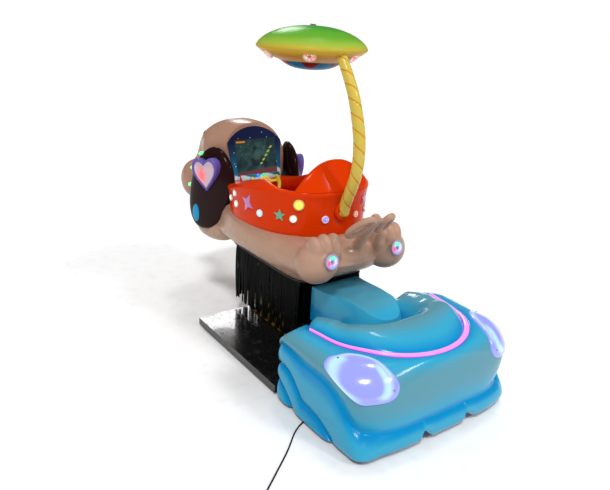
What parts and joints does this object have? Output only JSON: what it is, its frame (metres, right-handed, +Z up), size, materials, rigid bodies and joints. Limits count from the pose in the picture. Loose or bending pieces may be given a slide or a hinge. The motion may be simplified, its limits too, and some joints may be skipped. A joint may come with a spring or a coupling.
{
  "type": "kiddie ride machine",
  "caption": "Puppy-shaped coin-type kiddie ride with a tub cockpit, screen in the head, canopy on a bent pole, crank drive, chequer deck and lit tail fairing.",
  "frame": {"origin": "middle of the object's box at floor level", "axes": "+X towards the puppy's muzzle, +Y to the rider's left, +Z up"},
  "size_m": [2.3443, 1.4696, 1.732],
  "materials": {
    "tan_moulding": "glossy gel-coated fibreglass",
    "orange_moulding": "glossy gel-coated fibreglass",
    "blue_moulding": "airbrushed glossy fibreglass",
    "brown_moulding": "glossy dark fibreglass",
    "purple_moulding": "glossy plastic",
    "cyan_trim": "glossy plastic",
    "black_gloss": "glossy plastic",
    "yellow_moulding": "glossy painted fibreglass",
    "green_moulding": "glossy painted fibreglass",
    "lens_clear": "translucent lit lens",
    "heart_lens": "translucent lit lens",
    "lamp_lens": "translucent lit lens",
    "pink_light": "lit silicone strip",
    "star_paint": "glossy painted relief",
    "navy_panel": "printed panel",
    "screen_glass": "screen glass",
    "chequer_black": "black painted chequer plate",
    "frame_grey": "painted steel",
    "hazard_paint": "painted steel",
    "bright_steel": "machined steel",
    "grey_cast": "painted casting",
    "motor_blue": "painted steel",
    "rubber_black": "matt rubber",
    "strip_black": "soft PVC strip",
    "box_grey": "plastic box",
    "blue_button": "lit button cap",
    "green_button": "lit button cap",
    "tie_grey": "woven tie"
  },
  "bodies": {
    "base": {"base_frame": "frame_grey", "deck_plate": "chequer_black", "levelling_feet": "rubber_black", "fairing_shell": "blue_moulding", "fairing_ends": "blue_moulding", "hump_block": "blue_moulding", "headlight_lens_left": "lens_clear", "headlight_lens_right": "lens_clear", "light_strip": "pink_light", "drive_frame": "hazard_paint", "crank_bearings": "bright_steel", "gearbox": "grey_cast", "motor": "motor_blue", "drive_belt": "rubber_black", "control_box": "box_grey", "power_supply": "bright_steel", "cord_gland": "rubber_black", "cord": "rubber_black", "cord_coil": "rubber_black", "coil_tie": "tie_grey", "plug": "black_gloss"},
    "ride": {"ride_frame": "frame_grey", "body_shell": "tan_moulding", "head_shell": "tan_moulding", "nose": "black_gloss", "eyes": "black_gloss", "ear_left": "brown_moulding", "ear_right": "brown_moulding", "heart_bezels": "purple_moulding", "heart_lenses": "heart_lens", "ear_discs": "cyan_trim", "ear_leds": "lamp_lens", "tub_shell": "orange_moulding", "backrest": "orange_moulding", "seat_bench": "orange_moulding", "dashboard": "yellow_moulding", "screen_bezel": "navy_panel", "lcd_panel": "screen_glass", "pole": "yellow_moulding", "pole_boss": "orange_moulding", "canopy_top": "green_moulding", "canopy_bottom": "yellow_moulding", "canopy_lamps": "lamp_lens", "tub_lamps": "lamp_lens", "tub_stars": "star_paint", "paw_left": "tan_moulding", "paw_right": "tan_moulding", "paw_lamps": "lamp_lens", "tail_bow": "tan_moulding", "fringe_sides": "strip_black", "fringe_ends": "strip_black"},
    "crank_rear": {"crankshaft_rear": "bright_steel", "pulley_rear": "frame_grey"},
    "crank_front": {"crankshaft_front": "bright_steel", "pulley_front": "frame_grey"},
    "rotor": {"motor_fan": "box_grey"},
    "steering": {"steering_wheel": "yellow_moulding"},
    "horn": {"horn_cap": "cyan_trim"},
    "blue_push": {"button_blue": "blue_button"},
    "green_push": {"button_green": "green_button"}
  },
  "joints": [
    {"name": "crank_rear_spin", "type": "hinge", "parent": "base", "child": "crank_rear", "pos_m": [0, 0, 0.255], "axis": [0, 1, 0], "continuous": true},
    {"name": "crank_front_spin", "type": "hinge", "parent": "base", "child": "crank_front", "pos_m": [0.24, 0, 0.255], "axis": [0, 1, 0], "continuous": true},
    {"name": "ride_level", "type": "hinge", "parent": "crank_rear", "child": "ride", "pos_m": [0, 0, 0.23], "axis": [0, 1, 0], "continuous": true},
    {"name": "rotor_spin", "type": "hinge", "parent": "base", "child": "rotor", "pos_m": [0.24, 0, 0.15], "axis": [1, 0, 0], "continuous": true},
    {"name": "steering_turn", "type": "hinge", "parent": "ride", "child": "steering", "pos_m": [0.4809, 0, 0.7914], "axis": [-0.7779, 0, 0.6283], "range_deg": [-120, 120]},
    {"name": "horn_press", "type": "slide", "parent": "steering", "child": "horn", "axis": [0.7779, 0, -0.6283], "range_m": [0, 0.003], "stiffness_N_per_m": 900, "springref_m": -0.001},
    {"name": "blue_press", "type": "slide", "parent": "ride", "child": "blue_push", "axis": [0.7779, 0, -0.6283], "range_m": [0, 0.004], "stiffness_N_per_m": 700, "springref_m": -0.001},
    {"name": "green_press", "type": "slide", "parent": "ride", "child": "green_push", "axis": [0.7779, 0, -0.6283], "range_m": [0, 0.004], "stiffness_N_per_m": 700, "springref_m": -0.001}
  ],
  "couplings": [
    {"joint": "crank_front_spin", "follows": "crank_rear_spin", "ratio": 1},
    {"joint": "ride_level", "follows": "crank_rear_spin", "ratio": -1},
    {"joint": "rotor_spin", "follows": "crank_rear_spin", "ratio": 40}
  ]
}
